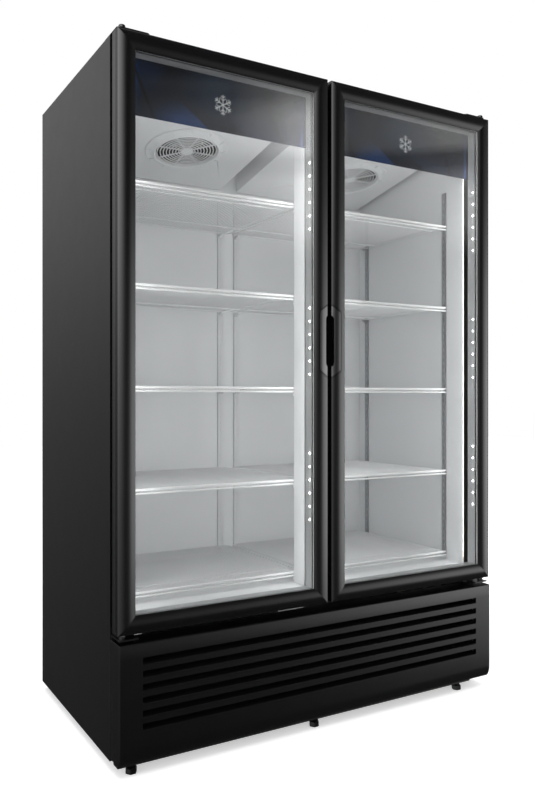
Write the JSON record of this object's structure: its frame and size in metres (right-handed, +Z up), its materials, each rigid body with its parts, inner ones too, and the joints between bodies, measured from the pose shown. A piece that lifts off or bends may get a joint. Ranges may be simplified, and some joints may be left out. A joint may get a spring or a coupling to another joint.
{
  "type": "reach in refrigerator",
  "caption": "Upright black commercial refrigerator with swinging glass doors, white wire shelves, ceiling fans, door lighting, and a slotted grille over the machine compartment.",
  "frame": {"origin": "on the floor, at the centre of the footprint", "axes": "+Z up; the doors face -Y; +X to the right of someone facing the doors"},
  "size_m": [1.382, 0.789, 2.033],
  "materials": {
    "black_steel": "matt black powder coat on steel sheet",
    "foam": "rigid polyurethane foam",
    "white_liner": "white pre-painted sheet, satin",
    "white_wire": "white epoxy-coated steel wire",
    "zinc": "zinc-plated steel",
    "aluminium": "plain aluminium fins",
    "led_profile": "satin anodised profile",
    "black_plastic": "satin black PVC",
    "door_glass": "clear tempered double glazing",
    "gasket_rubber": "flexible black PVC magnetic gasket",
    "grey_plastic": "moulded grey plastic",
    "compressor_paint": "gloss black enamel"
  },
  "bodies": {
    "cabinet": {"insulation_body": "foam", "inner_liner": "white_liner", "left_side_panel": "black_steel", "right_side_panel": "black_steel", "top_panel": "black_steel", "rear_panel": "black_steel", "door_sill": "black_steel", "center_mullion": "white_liner", "base_frame": "black_steel", "front_grille": "black_steel", "evaporator_cover": "white_liner", "evaporator_coil": "aluminium", "fan_guard_left": "white_liner", "fan_guard_right": "white_liner", "compressor": "compressor_paint", "condenser_coil": "aluminium", "condenser_fan_shroud": "zinc", "condensate_pan": "grey_plastic", "control_box": "zinc", "top_hinge_left": "black_steel", "top_hinge_right": "black_steel", "bottom_hinge_left": "black_steel", "bottom_hinge_right": "black_steel", "left_wall_pilaster_front": "zinc", "left_wall_pilaster_rear": "zinc", "left_back_pilaster": "zinc", "right_wall_pilaster_front": "zinc", "right_wall_pilaster_rear": "zinc", "right_back_pilaster": "zinc"},
    "door_left": {"left_door_frame": "black_plastic", "left_door_glass": "door_glass", "left_door_gasket": "gasket_rubber", "left_door_handle": "black_plastic", "left_door_led_hinge_side": "led_profile", "left_door_led_meeting_side": "led_profile"},
    "door_right": {"right_door_frame": "black_plastic", "right_door_glass": "door_glass", "right_door_gasket": "gasket_rubber", "right_door_handle": "black_plastic", "right_door_led_hinge_side": "led_profile", "right_door_led_meeting_side": "led_profile"},
    "evaporator_fan_left": {"evaporator_fan_left": "grey_plastic"},
    "evaporator_fan_right": {"evaporator_fan_right": "grey_plastic"},
    "condenser_fan": {"condenser_fan": "aluminium"},
    "temperature_knob": {"temperature_knob": "black_plastic"},
    "shelf_left_1": {"shelf_left_1": "white_wire"},
    "shelf_left_2": {"shelf_left_2": "white_wire"},
    "shelf_left_3": {"shelf_left_3": "white_wire"},
    "shelf_left_4": {"shelf_left_4": "white_wire"},
    "shelf_left_5": {"shelf_left_5": "white_wire"},
    "shelf_right_1": {"shelf_right_1": "white_wire"},
    "shelf_right_2": {"shelf_right_2": "white_wire"},
    "shelf_right_3": {"shelf_right_3": "white_wire"},
    "shelf_right_4": {"shelf_right_4": "white_wire"},
    "shelf_right_5": {"shelf_right_5": "white_wire"},
    "foot_front_left": {"foot_front_left": "black_plastic"},
    "foot_front_center": {"foot_front_center": "black_plastic"},
    "foot_front_right": {"foot_front_right": "black_plastic"},
    "foot_rear_left": {"foot_rear_left": "black_plastic"},
    "foot_rear_right": {"foot_rear_right": "black_plastic"}
  },
  "joints": [
    {"name": "door_left_swing", "type": "hinge", "parent": "cabinet", "child": "door_left", "pos_m": [-0.671, -0.3645, 1.202], "axis": [0, 0, -1], "range_deg": [0, 110]},
    {"name": "door_right_swing", "type": "hinge", "parent": "cabinet", "child": "door_right", "pos_m": [0.671, -0.3645, 1.202], "axis": [0, 0, 1], "range_deg": [0, 110]},
    {"name": "evaporator_fan_left_spin", "type": "hinge", "parent": "cabinet", "child": "evaporator_fan_left", "pos_m": [-0.288, 0.05955, 1.92014], "axis": [0, 0.1886, 0.9821], "continuous": true},
    {"name": "evaporator_fan_right_spin", "type": "hinge", "parent": "cabinet", "child": "evaporator_fan_right", "pos_m": [0.402, 0.05955, 1.92014], "axis": [0, 0.1886, 0.9821], "continuous": true},
    {"name": "condenser_fan_spin", "type": "hinge", "parent": "cabinet", "child": "condenser_fan", "pos_m": [-0.35, -0.2345, 0.203], "axis": [0, 1, 0], "continuous": true},
    {"name": "temperature_knob_turn", "type": "hinge", "parent": "cabinet", "child": "temperature_knob", "pos_m": [0.5, -0.2765, 0.245], "axis": [0, 1, 0], "range_deg": [0, 270]},
    {"name": "shelf_left_1_lift", "type": "slide", "parent": "cabinet", "child": "shelf_left_1", "axis": [0, 0, 1], "range_m": [0, 0.03]},
    {"name": "shelf_left_2_lift", "type": "slide", "parent": "cabinet", "child": "shelf_left_2", "axis": [0, 0, 1], "range_m": [0, 0.03]},
    {"name": "shelf_left_3_lift", "type": "slide", "parent": "cabinet", "child": "shelf_left_3", "axis": [0, 0, 1], "range_m": [0, 0.03]},
    {"name": "shelf_left_4_lift", "type": "slide", "parent": "cabinet", "child": "shelf_left_4", "axis": [0, 0, 1], "range_m": [0, 0.03]},
    {"name": "shelf_left_5_lift", "type": "slide", "parent": "cabinet", "child": "shelf_left_5", "axis": [0, 0, 1], "range_m": [0, 0.03]},
    {"name": "shelf_right_1_lift", "type": "slide", "parent": "cabinet", "child": "shelf_right_1", "axis": [0, 0, 1], "range_m": [0, 0.03]},
    {"name": "shelf_right_2_lift", "type": "slide", "parent": "cabinet", "child": "shelf_right_2", "axis": [0, 0, 1], "range_m": [0, 0.03]},
    {"name": "shelf_right_3_lift", "type": "slide", "parent": "cabinet", "child": "shelf_right_3", "axis": [0, 0, 1], "range_m": [0, 0.03]},
    {"name": "shelf_right_4_lift", "type": "slide", "parent": "cabinet", "child": "shelf_right_4", "axis": [0, 0, 1], "range_m": [0, 0.03]},
    {"name": "shelf_right_5_lift", "type": "slide", "parent": "cabinet", "child": "shelf_right_5", "axis": [0, 0, 1], "range_m": [0, 0.03]},
    {"name": "foot_front_left_screw", "type": "hinge", "parent": "cabinet", "child": "foot_front_left", "pos_m": [-0.641, -0.3555, 0.0085], "axis": [0, 0, 1], "continuous": true},
    {"name": "foot_front_center_screw", "type": "hinge", "parent": "cabinet", "child": "foot_front_center", "pos_m": [-0.038, -0.3555, 0.0085], "axis": [0, 0, 1], "continuous": true},
    {"name": "foot_front_right_screw", "type": "hinge", "parent": "cabinet", "child": "foot_front_right", "pos_m": [0.565, -0.3555, 0.0085], "axis": [0, 0, 1], "continuous": true},
    {"name": "foot_rear_left_screw", "type": "hinge", "parent": "cabinet", "child": "foot_rear_left", "pos_m": [-0.641, 0.3435, 0.0085], "axis": [0, 0, 1], "continuous": true},
    {"name": "foot_rear_right_screw", "type": "hinge", "parent": "cabinet", "child": "foot_rear_right", "pos_m": [0.641, 0.3435, 0.0085], "axis": [0, 0, 1], "continuous": true}
  ]
}
